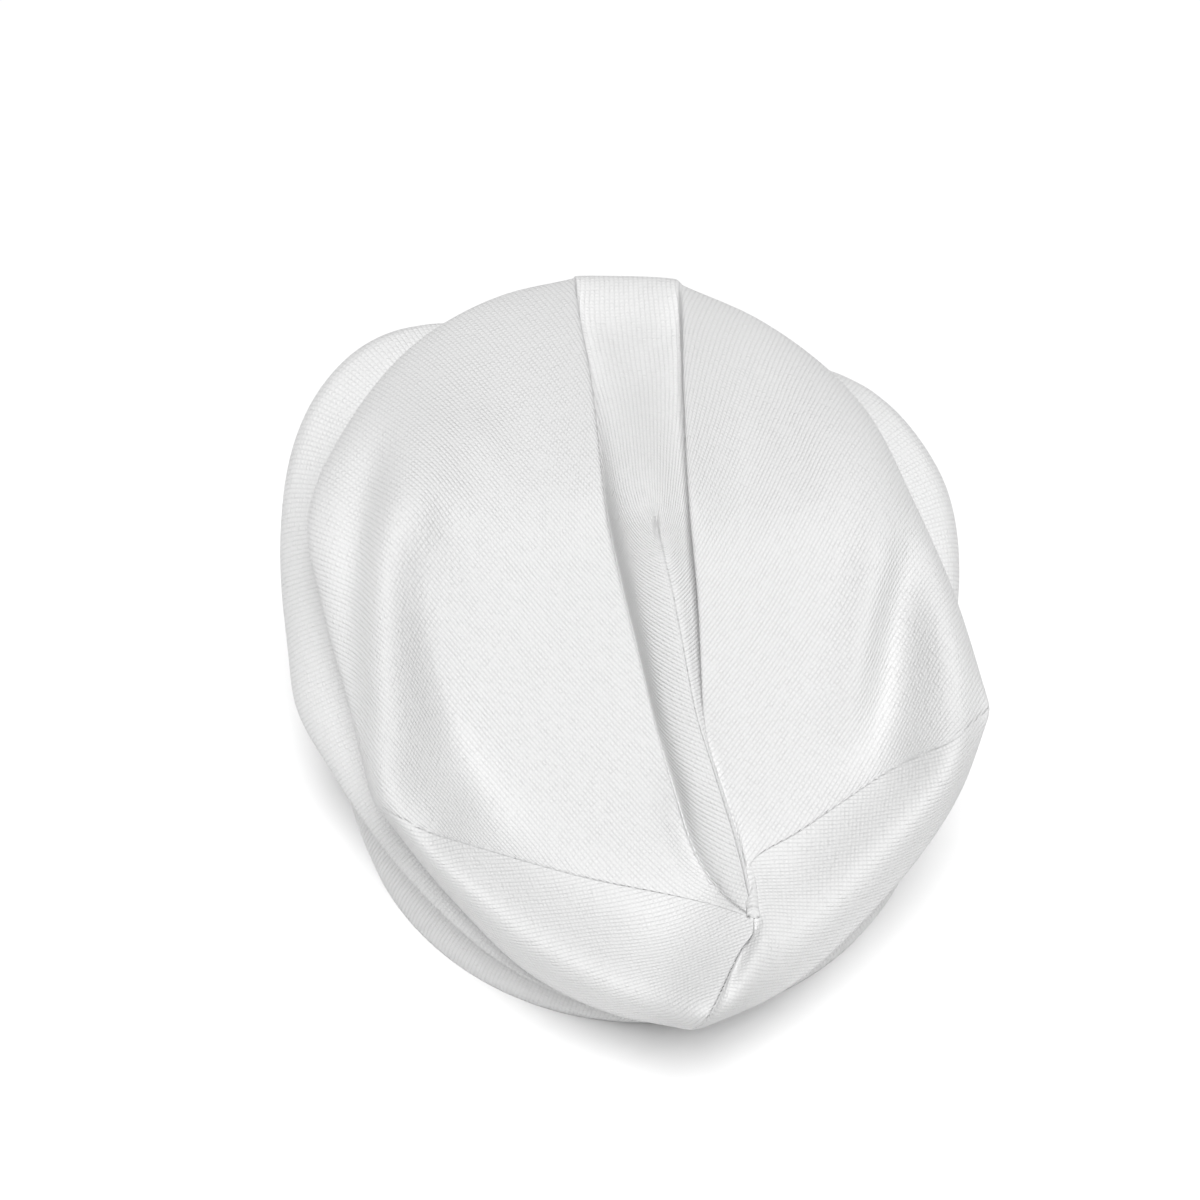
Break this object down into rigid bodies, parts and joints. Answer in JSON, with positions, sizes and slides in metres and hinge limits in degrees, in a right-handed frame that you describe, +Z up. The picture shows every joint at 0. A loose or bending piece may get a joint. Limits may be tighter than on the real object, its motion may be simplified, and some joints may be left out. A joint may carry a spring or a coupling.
{
  "type": "beanie",
  "caption": "Slouchy knitted jersey beanie standing on its rim, its seamed crown flopped forward with a deep pleat and soft rolls, open hollow for the head.",
  "frame": {"origin": "under the middle of the hat's bounding box, on the surface that the rim rests on", "axes": "+Z up, -Y the side to which the crown has flopped, +X the hat's left as seen by a wearer who faces -Y"},
  "size_m": [0.2088, 0.2358, 0.1489],
  "materials": {
    "jersey": "matt fine white knitted jersey"
  },
  "bodies": {
    "root": {"beanie_shell": "jersey"}
  },
  "joints": []
}
